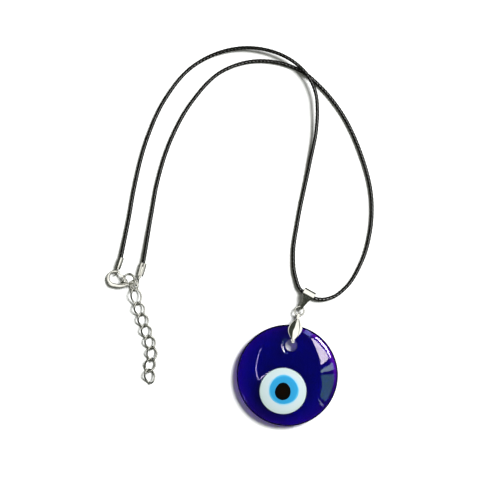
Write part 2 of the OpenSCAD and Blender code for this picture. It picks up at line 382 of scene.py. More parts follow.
METAL = metal_material("bright_plating", 0.06, 0.16)
COBALT = cobalt_material()
CORD = cord_material()
WHITE = opaque_glass(
    "opaline_white",
    [
        (0.0, (0.27, 0.5, 0.62)), (0.67, (0.27, 0.5, 0.62)), (0.72, (0.44, 0.53, 0.56)),
        (1.0, (0.42, 0.52, 0.51)),
    ],
    centre=BLUE_AT,
    reach=9.3,
)
BLUE = opaque_glass(
    "light_blue_glass_inlay",
    [(0.0, (0.022, 0.22, 0.43)), (0.93, (0.024, 0.26, 0.5)), (1.0, (0.08, 0.38, 0.58))],
    centre=BLUE_AT,
    reach=5.9,
)
BLACK = opaque_glass(
    "black_glass_inlay",
    [
        (0.0, (0.004, 0.0012, 0.0004)), (0.7, (0.002, 0.0012, 0.0006)),
        (1.0, (0.0008, 0.001, 0.0015)),
    ],
    centre=PUPIL_AT,
    reach=3.4,
)


# ---------------------------------------------------------------- cord
CORD_D = 1.5
STRANDS = 3
LAY_PITCH = 4.4
CORD_CORE = 0.80
CORD_LOBE = 0.21
LOBE_POWER = 0.6
CORD_SIDES = 21
CORD_STEP = 0.3
ROUTE = [
    (-72.82, 32.6, 0.99), (-72.44, 49.96, 0.25), (-72.42, 62.64, 0.25), (-70.7, 83.22, 0.25),
    (-66.63, 98.86, 0.25), (-58.05, 113.75, 0.3), (-48.6, 121.01, 0.9), (-36.25, 124.98, 1.6),
    (-18.01, 121.82, 2.2), (-12.11, 117.47, 2.4), (-8.16, 111.28, 2.5), (-6.4, 104.63, 2.4),
    (-5.58, 98.15, 1.9), (-5.75, 83.75, 0.8), (-6.41, 59.68, 0.25), (-5.96, 48.03, 0.35),
    (-3.64, 39.18, 0.6), (-0.1, 33.8, 0.85), (2.73, 32.8, 0.9), (5.6, 31.8, 0.85),
    (12.55, 33.62, 0.4), (16.38, 37.53, 0.25), (21.14, 48.74, 0.25), (22.51, 61.91, 0.25),
    (21.14, 73.2, 0.25), (12.77, 92.67, 0.25), (1.22, 107.96, 0.25), (-7.32, 115, 0.25),
    (-14.21, 119.02, 0.25), (-21.96, 120.93, 0.25), (-35.14, 119.9, 0.25), (-46.14, 114.02, 0.25),
    (-55.71, 100.33, 0.25), (-61.24, 84.64, 0.25), (-63.82, 66.03, 0.25), (-63.92, 53.67, 0.3),
    (-63.75, 38.5, 0.95), (-63.72, 32.3, 1.2),
]


def twisted_cord():
    """Three waxed yarns laid round each other, as one tube whose section turns along it."""
    line = smooth_line(ROUTE, CORD_STEP)
    run = [0.0]
    for a, b in zip(line, line[1:]):
        run.append(run[-1] + (b - a).length)

    def section(i):
        phase = 2 * math.pi * run[i] / LAY_PITCH
        shape = []
        for a in full_turn(CORD_SIDES):
            lobe = abs(math.cos(STRANDS * (a - phase) / 2))
            radius = CORD_D / 2 * (CORD_CORE + CORD_LOBE * lobe**LOBE_POWER)
            shape.append(polar(radius, a))
        return shape

    points, faces = sweep(line, section)
    piece = add_mesh("waxed_cord", points, faces, CORD)
    place(piece, "cord_loop", "waxed_cord", "cord")


twisted_cord()


# ---------------------------------------------------------------- glass
GLASS_R = 20.0
GLASS_T = 7.0
RIM_Z = 2.6
FLAT_R = 8.0
HOLE_AT = Vector((-0.57, 11.92))
HOLE_R = 2.4
FRONT_LIP = 2.0
BACK_LIP = 0.9
LIP_ROWS = 12
FACE_ROWS = 72
WALL_ROWS = 8
GLASS_SIDES = 160
INLAY_SIDES = 128
INLAY_ROWS = 26
EDGE_W = 0.12
EDGE_DROP = 0.03


def front_z(r):
    """The domed front's height at a distance from the glass's centre."""
    return RIM_Z + (GLASS_T - RIM_Z) * math.sqrt(max(0, 1 - (r / GLASS_R) ** 2))


def back_z(r):
    """The back's height: flat in the middle, and rounded up to the rim."""
    if r <= FLAT_R:
        return 0.0
    return RIM_Z * (1 - math.sqrt(max(0, 1 - ((r - FLAT_R) / (GLASS_R - FLAT_R)) ** 2)))


def glass_side(surface, lip, sign, angles):
    """Rings of points from the hole's wall over its rounded lip and out to the rim."""
    rows = []
    for k in range(LIP_ROWS):
        a = math.pi / 2 * k / LIP_ROWS
        radius = HOLE_R + lip * (1 - math.cos(a))
        drop = lip * (1 - math.sin(a))
        row = []
        for t in angles:
            x, y = HOLE_AT.x + radius * math.cos(t), HOLE_AT.y + radius * math.sin(t)
            row.append(Vector((x, y, surface(math.hypot(x, y)) - sign * drop)))
        rows.append(row)
    for k in range(FACE_ROWS + 1):
        f = math.sin(math.pi / 2 * k / FACE_ROWS)
        centre = HOLE_AT * (1 - f)
        radius = (HOLE_R + lip) * (1 - f) + GLASS_R * f
        row = []
        for t in angles:
            x, y = centre.x + radius * math.cos(t), centre.y + radius * math.sin(t)
            row.append(Vector((x, y, surface(min(math.hypot(x, y), GLASS_R)))))
        rows.append(row)
    return rows


def glass_body():
    """The glass disc: a domed front, a rounded back and the hanging hole's wall."""
    angles = full_turn(GLASS_SIDES)
    front = glass_side(front_z, FRONT_LIP, 1, angles)
    back = glass_side(back_z, BACK_LIP, -1, angles)
    wall = []
    for k in range(1, WALL_ROWS):
        f = k / WALL_ROWS
        wall.append([a * (1 - f) + b * f for a, b in zip(back[0], front[0])])
    rows = back[:0:-1] + [back[0]] + wall + front[:-1]
    points = [p for row in rows for p in row]
    faces = grid_faces(len(rows), GLASS_SIDES, close_rows=True)
    piece = add_mesh("glass_body", points, faces, COBALT)
    return place(piece, "pendant", "cobalt_glass", "glass_disc")


def blob_radius(a, radius, stretch=0.0, lobes=0.0, lean=0.0):
    """A nearly round outline: a little oval, with three faint lobes."""
    uneven = stretch * math.cos(2 * a) + lobes * math.cos(3 * a + math.radians(lean))
    return radius * (1 + uneven)


def inlay(name, node, slot, material, centre, floor_z, proud, outline):
    """A thin layer of the eye: its top follows the dome and its edge rolls into the glass."""
    angles = full_turn(INLAY_SIDES)
    points = []
    for i in range(INLAY_ROWS):
        for a in angles:
            r = outline(a) * ((i + 1) / INLAY_ROWS)
            x, y = centre[0] + r * math.cos(a), centre[1] + r * math.sin(a)
            edge = max(0, (r - outline(a) + EDGE_W) / EDGE_W)
            points.append((x, y, front_z(math.hypot(x, y)) + proud - EDGE_DROP * edge**2))
    for a in angles:
        x, y = polar(outline(a), a)
        points.append((centre[0] + x, centre[1] + y, floor_z))
    top = len(points)
    points.append((*centre, front_z(math.hypot(*centre)) + proud))
    points.append((*centre, floor_z))
    faces = grid_faces(INLAY_ROWS + 1, INLAY_SIDES)
    low_row = INLAY_ROWS * INLAY_SIDES
    for k in range(INLAY_SIDES):
        after = (k + 1) % INLAY_SIDES
        faces.append((top, k, after))
        faces.append((top + 1, low_row + after, low_row + k))
    piece = add_mesh(name, points, faces, material)
    piece.data.shade_smooth()
    return place(piece, "pendant", slot, node)


glass_body()
inlay(
    "opaline_white_layer", "eye_white", "white_glass", WHITE, WHITE_AT, floor_z=4.7, proud=0.012,
    outline=lambda a: blob_radius(a, 9.3, stretch=0.004, lobes=0.004, lean=60),
)
inlay(
    "light_blue_layer", "eye_blue", "light_blue_glass", BLUE, BLUE_AT, floor_z=5.2, proud=0.024,
    outline=lambda a: blob_radius(a, 5.92, lobes=0.03, lean=40),
)
inlay(
    "black_pupil_layer", "eye_pupil", "black_glass", BLACK, PUPIL_AT, floor_z=5.6, proud=0.036,
    outline=lambda a: blob_radius(a, 3.35, stretch=-0.06, lobes=0.02, lean=90),
)


# ---------------------------------------------------------------- clip, ring and bail
CLIP_AT = (-0.22, 11.92, 0)
CLIP_TURN = -2.1
CLIP_T = 0.4
NECK_Y = 12.09
RING_Z = 1.45


def between(table, x):
    """A value read from a table of (x, value) rows."""
    if x <= table[0][0]:
        return table[0][1]
    for (a, va), (b, vb) in zip(table, table[1:]):
        if x <= b:
            t = (x - a) / (b - a)
            return va + (vb - va) * t
    return table[-1][1]


def band(path, widths, thickness):
    """A strip with square edges, its path given in (along, height) pairs."""
    line = [Vector((0, y, z)) for y, z in path]

    def section(i):
        w, t = widths(i) / 2, thickness / 2
        return [(w, t), (-w, t), (-w, -t), (w, -t)]

    def lift(i):
        a, b = line[max(i - 1, 0)], line[min(i + 1, len(line) - 1)]
        way = (b - a).normalized()
        return Vector((1, 0, 0)).cross(way)

    return sweep(line, section, up=lift)


LEAF_CROWN = [
    (1.9, 6.55), (3, 6.42), (4.3, 6.15), (5.8, 5.72), (7.2, 5.2), (8.6, 4.55), (10.8, 3.35),
]
LEAF_LEFT = [
    (2.15, 0.28), (2.8, 0.95), (3.75, 1.85), (4.98, 2.66), (5.8, 2.86), (6.4, 2.9), (7.49, 2.7),
    (8.3, 2.35), (9.5, 1.65), (10.8, 0.6),
]
LEAF_RIGHT = [
    (2.15, 0.1), (2.86, 0.6), (4.1, 1.36), (5.7, 2.22), (6.6, 2.46), (7.3, 2.52), (8.25, 2.3),
    (9.3, 1.7), (10.8, 0.62),
]
LEAF_RIDGE = [(2.15, -0.16), (2.9, -0.58), (4.5, -0.82), (5.9, -0.86), (7.4, -0.5), (10.8, -0.12)]
LEAF_STEP = [
    (2.15, 0.0), (2.86, 0.45), (4.1, 1.1), (5.24, 1.3), (6.63, 1.3), (8.28, 1.1), (10.8, 0.3),
]
LEAF_BORDER = 0.1
LEAF_EDGE = 0.24
LEFT_SLOPE = 0.42
RIDGE_SLOPE = 0.06
GROOVE_SLOPE = 0.8
RIGHT_SLOPE = 0.18
GROOVE_W = 0.3
NECK_INNER = 0.65
NECK_WIDTH = [(0, 1.3), (3, 0.9), (10, 0.8), (20, 1.1)]
REAR_PATH = [
    (1.3, -0.28), (3, -0.28), (5, -0.28), (6.8, -0.2), (8.5, 0.02), (10, 0.32), (10.6, 0.42),
]
REAR_HALF = [0.5, 1.1, 2.3, 2.7, 2.0, 0.9, 0.6]
REAR_THINNER = 0.9
PRONG_Y = 1.5
PRONG_HEIGHTS = [(6.5, 4.0), (-0.2, 2.2)]
PRONG_HALF = [(0.5, 0.2), (0.5, 0.2), (0.2, 0.15)]


def clip_front_leaf():
    """The leaf in front: a bright middle facet, a steep left one, a step and a right one."""
    points = []
    tables = (LEAF_LEFT, LEAF_RIGHT, LEAF_RIDGE, LEAF_STEP)
    rows = sorted({y for table in tables for y, _ in table})
    for y in rows:
        top = between(LEAF_CROWN, y) + CLIP_T / 2
        left, right = -between(LEAF_LEFT, y), between(LEAF_RIGHT, y)
        ridge = max(between(LEAF_RIDGE, y), left * 0.7)
        step = min(between(LEAF_STEP, y), right - 0.04)
        border = left + LEAF_BORDER * (ridge - left)
        left_top = top - LEFT_SLOPE * (ridge - border)
        step_top = top - RIDGE_SLOPE * (step - ridge)
        groove = min(step + GROOVE_W, right)
        groove_top = step_top - GROOVE_SLOPE * (groove - step)
        right_top = groove_top - RIGHT_SLOPE * (right - groove)
        outline = [
            (left, left_top - LEAF_EDGE), (left, left_top), (border, left_top), (ridge, top),
            (step, step_top), (groove, groove_top), (right, right_top),
            (right, right_top - LEAF_EDGE), (step, top - CLIP_T - 0.1), (ridge, top - CLIP_T),
        ]
        points.extend((x, y, z) for x, z in outline)
    columns = len(outline)
    faces = grid_faces(len(rows), columns)
    faces.append(tuple(range(columns)))
    faces.append(tuple(range((len(rows) - 1) * columns, len(rows) * columns)))
    return points, faces


def prong(z_from, z_to):
    """A short pin that tapers towards z_to."""
    def section(i):
        w, t = PRONG_HALF[i]
        return [(w, t), (-w, t), (-w, -t), (w, -t)]

    heights = (z_from, (z_from + z_to) / 2, z_to)
    return sweep([(0, PRONG_Y, z) for z in heights], section, up=(0, 1, 0))


def pinch_clip():
    """One folded strip: a leaf in front, a neck, a leaf behind and two prongs in the hole."""
    low = NECK_INNER + CLIP_T / 2
    neck_path = [(9.6, 3.9), (10.5, 3.25), (11.4, 2.6)]
    neck_path += [
        (NECK_Y + low * math.sin(math.radians(a)), RING_Z + low * math.cos(math.radians(a)))
        for a in range(0, 181, 12)
    ]
    neck_path += [(11.2, 0.53), (10, 0.3)]
    points, faces = join_parts(
        clip_front_leaf(),
        band(neck_path, lambda i: between(NECK_WIDTH, i), CLIP_T),
        band(REAR_PATH, lambda i: 2 * REAR_HALF[i], CLIP_T * REAR_THINNER),
        *(prong(z_from, z_to) for z_from, z_to in PRONG_HEIGHTS),
    )
    points = moved(rotated(points, ("Z", CLIP_TURN)), CLIP_AT)
    piece = add_mesh("leaf_clip", points, faces, METAL, smooth=False)
    bevel(piece, width=0.04, segments=2, angle=9)
    return place(piece, "clip", "bright_metal", "pinch_clip")


BAIL_AT = (2.73, 32.8, RING_Z)
BAIL_TURN = -19
BAIL_TIP_Y = -5.78
BAIL_ACROSS = 16
BAIL_STEPS = 24
BAIL_RUN = 10
BAIL_HALF_WIDTH = [
    (-7, 0.5), (-5.8, 0.6), (-4.2, 0.85), (-2.6, 1.2), (-1.5, 1.6), (-0.9, 2.1), (-0.4, 2.36),
    (0.8, 2.42), (2, 2.38),
]


def bail_profile(radius, tip_radius, tip_y, steps):
    """Points round a drop outline: a large circle at the cord, a small one at tip_y."""
    lean = math.asin((radius - tip_radius) / abs(tip_y))
    big = math.pi + 2 * lean
    small = math.pi - 2 * lean
    points = []
    for k in range(steps + 1):
        a = -lean + big * k / steps
        points.append(polar(radius, a))
    end_big = points[-1]
    start_small = (-tip_radius * math.cos(lean), tip_y - tip_radius * math.sin(lean))
    for k in range(1, BAIL_RUN):
        t = k / BAIL_RUN
        points.append(tuple(p + (q - p) * t for p, q in zip(end_big, start_small)))
    for k in range(steps + 1):
        a = math.pi + lean + small * k / steps
        points.append((tip_radius * math.cos(a), tip_y + tip_radius * math.sin(a)))
    last, first = points[-1], points[0]
    for k in range(1, BAIL_RUN):
        t = k / BAIL_RUN
        points.append(tuple(p + (q - p) * t for p, q in zip(last, first)))
    return points


def tapered_bail():
    """A drop-shaped strap, wide round the cord and narrow at the small ring."""
    inner = bail_profile(1.47, 0.67, BAIL_TIP_Y, BAIL_STEPS)
    outer = bail_profile(1.93, 1.03, BAIL_TIP_Y, BAIL_STEPS)
    points = []
    for shell in (outer, inner):
        for a, b in shell:
            w = between(BAIL_HALF_WIDTH, b)
            for k in range(BAIL_ACROSS + 1):
                v = -1 + 2 * k / BAIL_ACROSS
                points.append((v * w, b, -a))
    rows = len(outer)
    columns = BAIL_ACROSS + 1
    faces = []
    for s in (0, rows * columns):
        for f in grid_faces(rows, columns, close_rows=True, close_columns=False):
            faces.append(tuple(s + v for v in f))
    other = rows * columns
    for i in range(rows):
        for k in (0, BAIL_ACROSS):
            a, b = i * columns + k, (i + 1) % rows * columns + k
            faces.append((a, b, other + b, other + a))
    points = moved(rotated(points, ("Z", BAIL_TURN)), BAIL_AT)
    piece = add_mesh("tapered_bail", points, faces, METAL)
    bevel(piece, width=0.2, segments=4, angle=50)
    return place(piece, "bail", "bright_metal", "cord_bail")


pinch_clip()
place(
    wire_ring(
        "clip_jump_ring", (0.29, 25.71, RING_Z), turn=0, roll=0, radius=1.8, wire=0.35,
        material=METAL, gap_at=150,
    ),
    "small_ring", "bright_metal", "clip_ring",
)
tapered_bail()


# ---------------------------------------------------------------- cord ends
CRIMP_L = 3.7
CRIMP_W = 1.29
CRIMP_T = 1.03
CRIMP_SHEET = 0.26
CRIMP_STEPS = 26
CRIMP_ROUND = 40
FLAP_EDGE = 0.09
SEAM_HALF_ANGLE = 3
SEAM_W = 0.10
SEAM_OPENS = 0.16
LEFT_END_AT = (-72.76, 33.3, 0.99)
LEFT_END_TURN = -98.4
RIGHT_END_AT = (-63.65, 33.2, 1.2)
RIGHT_END_TURN = -95.5


def folded_end(roll, start, end):
    """A cord end folded from sheet: two flaps lie over the cord with a seam between them."""
    points = []
    for shell in (0, 1):
        for i in range(CRIMP_STEPS + 1):
            f = i / CRIMP_STEPS
            x = start + (end - start) * f
            squeeze = 1 - 0.12 * f**3 - 0.05 * (1 - f) ** 6
            wide, tall = CRIMP_W * squeeze, CRIMP_T * squeeze
            seam = SEAM_W + SEAM_OPENS * math.sin(math.pi * min(1, f * 1.15)) ** 2
            for k in range(CRIMP_ROUND + 1):
                t = k / CRIMP_ROUND
                a = math.radians(90 + SEAM_HALF_ANGLE) + math.radians(360 - 2 * SEAM_HALF_ANGLE) * t
                y, z = wide * math.cos(a), tall * math.sin(a)
                edge = min(t, 1 - t)
                lip = max(0, 1 - edge / FLAP_EDGE)
                y += (-seam if t < 0.5 else seam) * lip * 1.1
                z -= CRIMP_SHEET * lip**2
                if shell:
                    inward = 1 - CRIMP_SHEET / math.hypot(y, z)
                    y, z = y * inward, z * inward
                points.append((x, y, z))
    rows, columns = CRIMP_STEPS + 1, CRIMP_ROUND + 1
    half = rows * columns
    faces = []
    for s in (0, half):
        for f in grid_faces(rows, columns, close_columns=False):
            faces.append(tuple(s + v for v in f))
    for i in range(rows - 1):
        for k in (0, CRIMP_ROUND):
            a, b = i * columns + k, (i + 1) * columns + k
            faces.append((a, b, b + half, a + half))
    for k in range(CRIMP_ROUND):
        for i in (0, rows - 1):
            a = i * columns + k
            faces.append((a, a + 1, a + 1 + half, a + half))
    back = len(points)
    points.append((end, 0, -0.1))
    rim = [(rows - 1) * columns + k + half for k in range(CRIMP_ROUND + 1)]
    for a, b in zip(rim, rim[1:]):
        faces.append((a, b, back))
    return rotated(points, ("X", roll)), faces


def left_end():
    """The left cord end: it lies on its edge, with a loop for the clasp's hook."""
    body = folded_end(90, -1.1, CRIMP_L)
    neck = sweep(
        [(CRIMP_L - 0.4, 0, 0), (CRIMP_L - 0.2, 0, 0), (CRIMP_L, 0, 0)],
        lambda i: circle((0.6, 0.5, 0.3)[i], 16),
    )
    loop, loop_faces = ring_points(1.25, 0.24)
    loop = moved(rotated(loop, ("X", 90)), (4.74, 0, 0))
    points, faces = join_parts(body, neck, (loop, loop_faces))
    points = moved(rotated(points, ("Z", LEFT_END_TURN)), LEFT_END_AT)
    piece = add_mesh("left_cord_end", points, faces, METAL)
    bevel(piece, width=0.05, segments=2, angle=45)
    return place(piece, "cord_loop", "bright_metal", "left_crimp")


def right_end():
    """The right cord end: it lies with its seam up, and its neck bends to the loop."""
    body, body_faces = folded_end(0, -0.5, CRIMP_L + 1.0)
    body = moved(rotated(body, ("Z", RIGHT_END_TURN)), RIGHT_END_AT)
    heading = toward(RIGHT_END_TURN)
    start = Vector(RIGHT_END_AT) + heading * (CRIMP_L + 0.7)
    neck_line = [start, start + heading * 0.6, (-64.3, 27.6, 1.25), (-64.6, 26.95, 1.6)]
    neck = sweep(smooth_line(neck_line, 0.3), lambda i: circle(0.36, 16, 0.7))
    loop, loop_faces = ring_points(1.3, 0.3)
    loop = moved(rotated(loop, ("X", -67.8), ("Z", RIGHT_END_TURN)), (-64.91, 25.76, 2.06))
    points, faces = join_parts((body, body_faces), neck, (loop, loop_faces))
    piece = add_mesh("right_cord_end", points, faces, METAL)
    bevel(piece, width=0.05, segments=2, angle=45)
    return place(piece, "cord_loop", "bright_metal", "right_crimp")


left_end()
right_end()
place(
    wire_ring(
        "joining_jump_ring", (-65.76, 24.41, 1.34), turn=-78, roll=41.9, radius=2, wire=0.375,
        material=METAL, gap_at=60,
    ),
    "join", "bright_metal", "join_ring",
)
place(
    wire_ring(
        "clasp_jump_ring", (-67.85, 26.65, 1.24), turn=-50, roll=-39.1, radius=2.25, wire=0.3,
        material=METAL, gap_at=200,
    ),
    "side_ring", "bright_metal", "clasp_ring",
)


# ---------------------------------------------------------------- clasp
CLASP_AT = (-73.8, 25.9, 0.8)
HOOK_R = 2.75
SPINE = [
    (1.9, -2.5, 0), (3.0, -2.25, 0), (4.0, -1.85, 0), (4.9, -1.35, 0), (5.55, -0.85, 0),
    (6.0, -0.35, 0), (6.25, 0.02, 0),
]
CLAW_WIDE = [
    (0, 0.28), (0.08, 0.46), (0.3, 0.46), (0.5, 0.62), (0.66, 0.78), (0.84, 0.7), (0.93, 0.6),
    (1, 0.3),
]
CLAW_TALL = [(0, 0.3), (0.08, 0.46), (0.6, 0.5), (0.75, 0.63), (0.93, 0.6), (1, 0.3)]
CLAW_SIDES = 20
CLAW_SQUARENESS = 0.85
RIVET_AT = Vector((4.2, 0.1))
RIVET_R = 0.36
RIVET_CHAMFER_R = 0.33
RIVET_HEIGHTS = (-0.84, -0.8, 0.8, 0.84)
RIVET_SIDES = 24
SPRING_AT = (3.6, -0.9)


def in_clasp(points):
    """Points given in the clasp's own plane, moved to where the clasp lies."""
    return moved(rotated(points, ("Y", -6.1), ("Z", -8.4)), CLASP_AT)


def claw():
    """Hook and spine in one sweep, thin at the hook's tip and full at the spine."""
    hook = [(*polar(HOOK_R, math.radians(a)), 0) for a in range(42, 290, 6)]
    line = smooth_line(hook + SPINE, 0.25)
    last = len(line) - 1

    def squarer(value):
        return math.copysign(abs(value) ** CLAW_SQUARENESS, value)

    def section(i):
        w, t = between(CLAW_WIDE, i / last), between(CLAW_TALL, i / last)
        return [(w * squarer(math.cos(a)), t * squarer(math.sin(a))) for a in full_turn(CLAW_SIDES)]

    return sweep(line, section)


FRONT_CHEEK = [
    (3.3, 1.5), (3.6, 1.5), (4.4, 0.92), (5.3, 0.3), (6.1, -0.2), (6.55, -0.7),
    (6.35, -1.05), (5.7, -0.9), (4.9, -0.42), (4.0, 0.1), (3.25, 0.85),
]
LEVER_ARM = [
    (1.0, 2.42), (1.04, 2.72), (1.34, 2.9), (1.7, 2.78), (2.45, 2.3), (3.14, 1.82), (3.18, 1.0),
    (2.75, 1.32), (1.9, 1.86), (1.25, 2.22),
]
LEVER_RISER = [(2.5, 1.5), (2.6, 2.1), (3.1, 1.8), (3.14, 1.06), (2.75, 1.3)]
LEVER_GATE = [
    (4.9, 0.5), (4.6, 1.0), (3.9, 1.5), (3.6, 2.1), (3.1, 2.35), (2.95, 1.95), (2.62, 2.15),
    (2.4, 1.2), (3.0, 0.85), (3.55, 0.02), (4.2, -0.62), (4.8, -0.3),
]
REAR_CHEEK = [
    (5.5, -0.5), (5.15, 0.35), (4.9, 0.85), (4.45, 1.13), (3.95, 1.13), (3.5, 0.85), (3.2, 0.3),
    (2.9, -0.6), (3.0, -1.9), (4.0, -1.8), (5.0, -1.2),
]


def plate(outline, low, high):
    """A plate over an outline: its underside is level, and high gives its top at a point."""
    points = [(x, y, low) for x, y in outline] + [(x, y, high(x, y)) for x, y in outline]
    n = len(outline)
    faces = [tuple(range(n - 1, -1, -1)), tuple(range(n, 2 * n))]
    faces += [(k, (k + 1) % n, n + (k + 1) % n, n + k) for k in range(n)]
    return points, faces


def claw_piece():
    """The clasp's hook and spine, with its tail eye."""
    tail, tail_faces = ring_points(1.05, 0.3)
    tail = moved(rotated(tail, ("X", 40)), (7.15, 0, 0))
    points, faces = join_parts(claw(), (tail, tail_faces))
    body = add_mesh("clasp_claw", in_clasp(points), faces, METAL)
    place(body, "clasp", "bright_metal", "clasp_body")


def cheek(name, points, faces):
    """A side plate of the clasp, which has no CAD part of its own."""
    side = add_mesh(name, in_clasp(points), faces, METAL, smooth=False)
    bevel(side, width=0.13, segments=3, angle=30)
    place(side, "clasp", "bright_metal")


def lever_piece():
    """The lever: a gate in the clasp's plane, and a riser up to an arm at the hook's tip."""
    points, faces = join_parts(
        plate(LEVER_GATE, -0.29, lambda x, y: 0.05 + 0.18 * y - 0.15 * (x - 3.6)),
        plate(LEVER_RISER, 0.0, lambda x, y: 0.6),
        plate(LEVER_ARM, 0.52, lambda x, y: 0.82),
    )
    lever = add_mesh("clasp_lever_gate", in_clasp(points), faces, METAL, smooth=False)
    bevel(lever, width=0.12, segments=3, angle=20)
    place(lever, "lever", "bright_metal", "clasp_lever")


def rivet_piece():
    """The lever's rivet, a pin with chamfered ends."""
    points = []
    for z in RIVET_HEIGHTS:
        radius = RIVET_CHAMFER_R if abs(z) == max(RIVET_HEIGHTS) else RIVET_R
        points += [(RIVET_AT.x + x, RIVET_AT.y + y, z) for x, y in circle(radius, RIVET_SIDES)]
    last_row = (len(RIVET_HEIGHTS) - 1) * RIVET_SIDES
    faces = grid_faces(len(RIVET_HEIGHTS), RIVET_SIDES)
    faces += [tuple(range(RIVET_SIDES)), tuple(range(last_row, last_row + RIVET_SIDES))]
    rivet = add_mesh("clasp_rivet_pin", in_clasp(points), faces, METAL)
    bevel(rivet, width=0.05, segments=2, angle=40)
    place(rivet, "clasp", "bright_metal", "clasp_rivet")


def spring_piece():
    """The lever's spring, an arc of thin wire beside the rivet."""
    turned = []
    for a in range(119, 229, 6):
        x, y = polar(1, math.radians(a))
        turned.append((SPRING_AT[0] + x, SPRING_AT[1] + y, 0))
    points, faces = sweep(turned, lambda i: circle(0.12, 12))
    spring = add_mesh("clasp_lever_spring", in_clasp(points), faces, METAL)
    place(spring, "clasp", "bright_metal", "clasp_spring")


claw_piece()
cheek("clasp_cheek_front", *plate(FRONT_CHEEK, 0.42, lambda x, y: 0.8))
cheek(
    "clasp_cheek_rear",
    *plate(REAR_CHEEK, -0.92, lambda x, y: -0.66 + 0.1 * (y + 1.8) - 0.16 * (x - 4)),
)
lever_piece()
rivet_piece()
spring_piece()


# ---------------------------------------------------------------- extender chain
LINK_HALF = 2.8
LINK_SIDE = 1.95
LINK_WIRE = 0.35
LINK_TWIST = 45
LINK_STEPS = 96
LINK_PITCH = 4.6
FIRST_AT = Vector((-64.26, 20.3, 1.37))
FIRST_TURN = -70
FIRST_HALF = 3.45
FIRST_OVERLAP = 0.5
TURNS = [-60, -64, -62, -62, -80, -98, -66]
CHAIN_Z = [1.1, 0.85, 0.75, 0.75, 0.75, 0.75, 0.75]


def twisted_link(half):
    """An oval link of wire, twisted along its length as a curb link is."""
    path = []
    for a in full_turn(LINK_STEPS):
        x, y = half * math.cos(a), LINK_SIDE * math.sin(a)
        w = math.radians(LINK_TWIST * x / half)
        path.append((x, y * math.cos(w), y * math.sin(w)))

    def lift(i):
        return Vector(path[i]).cross(Vector(path[(i + 1) % LINK_STEPS]) - Vector(path[i - 1]))

    return sweep(path, lambda i: circle(LINK_WIRE, 16), closed=True, up=lift)


def link_piece(number, half, turn, at):
    """One link of half length half, turned about Z and moved to its place."""
    points, faces = twisted_link(half)
    points = moved(rotated(points, ("Z", turn)), at)
    link = add_mesh(f"extender_link_{number}", points, faces, METAL)
    place(link, f"link_{number}", "bright_metal", f"chain_link_{number}")


def chain():
    """The first link, then each link from where it hangs in the one before it."""
    link_piece(1, FIRST_HALF, FIRST_TURN, FIRST_AT)
    pivot = FIRST_AT + (FIRST_HALF - FIRST_OVERLAP) * toward(FIRST_TURN)
    for number, (turn, z) in enumerate(zip(TURNS, CHAIN_Z), start=2):
        way = toward(turn)
        at = pivot + way * LINK_PITCH / 2
        at.z = z
        link_piece(number, LINK_HALF, turn, at)
        pivot = pivot + way * LINK_PITCH


chain()


# ---------------------------------------------------------------- floor and light
TABLE_Z = -0.5
TABLE_GAP = 0.02
TABLE_HALF = 1500
KEY_AT = (1080, 1140, 1750)
KEY_SIZE = 1000
KEY_POWER = 81.6
KEY_THROUGH_POWER = 38.4
FILL_POWER = 3.2
LAMPS_AIM = (-20, 40, 0)
PANEL_FAR = 600
WALL_WHITE = (1.0, 0.995, 0.95)


def dome_reflection(x, y):
    """Where a ray from the camera goes after it meets the front of the glass at x, y."""
    r = math.hypot(x, y)
    slope = -(GLASS_T - RIM_Z) * r / GLASS_R**2 / math.sqrt(1 - (r / GLASS_R) ** 2)
    normal = Vector((-slope * x / r, -slope * y / r, 1)).normalized()
    at = Vector((x, y, front_z(r)))
    ray = (at - Vector(CAMERA_AT)).normalized()
    return at, ray.reflect(normal)


def glow_material(name, colour, strength):
    """Adds its glow to a reflection, and lets every ray go on through it."""
    material = bpy.data.materials.new(name)
    material.use_nodes = True
    nodes, links = material.node_tree.nodes, material.node_tree.links
    nodes.clear()
    glow = nodes.new("ShaderNodeEmission")
    glow.inputs["Color"].default_value = (*colour, 1)
    glow.inputs["Strength"].default_value = strength
    clear = nodes.new("ShaderNodeBsdfTransparent")
    both = nodes.new("ShaderNodeAddShader")
    links.new(glow.outputs[0], both.inputs[0])
    links.new(clear.outputs[0], both.inputs[1])
    out = nodes.new("ShaderNodeOutputMaterial")
    links.new(both.outputs[0], out.inputs["Surface"])
    return material


def mirror_panel(name, points, faces, colour, strength, seen_by):
    """A studio panel that only the named pieces mirror."""
    panel = add_mesh(name, points, faces, glow_material(name, colour, strength), smooth=False)
    panel.visible_camera = False
    panel.visible_diffuse = False
    panel.visible_transmission = False
    panel.visible_volume_scatter = False
    panel.visible_shadow = False
    panel.light_linking.receiver_collection = seen_by
    return panel


def softbox(name, outline, colour, strength, seen_by):
    """A glowing panel that stands where the glass mirrors it inside the outline."""
    points = []
    for x, y in outline:
        at, ray = dome_reflection(x, y)
        points.append(at + ray * PANEL_FAR)
    return mirror_panel(name, points, [tuple(range(len(points)))], colour, strength, seen_by)


def glint(name, line, widths, colour, strength, seen_by):
    """A narrow glowing strip that the glass mirrors along the line."""
    points = []
    last = len(line) - 1
    for i, (x, y) in enumerate(line):
        way = (Vector(line[min(i + 1, last)]) - Vector(line[max(i - 1, 0)])).normalized()
        half = widths[i] / 2
        for side in (1, -1):
            at, ray = dome_reflection(x - way.y * half * side, y + way.x * half * side)
            points.append(at + ray * PANEL_FAR)
    faces = [(2 * i, 2 * i + 1, 2 * i + 3, 2 * i + 2) for i in range(last)]
    return mirror_panel(name, points, faces, colour, strength, seen_by)


def group(name, *prefixes):
    """The pieces whose names start with a prefix, as the receivers of a panel."""
    found = bpy.data.collections.new(name)
    for piece in bpy.data.objects:
        if piece.name.startswith(prefixes):
            found.objects.link(piece)
    return found


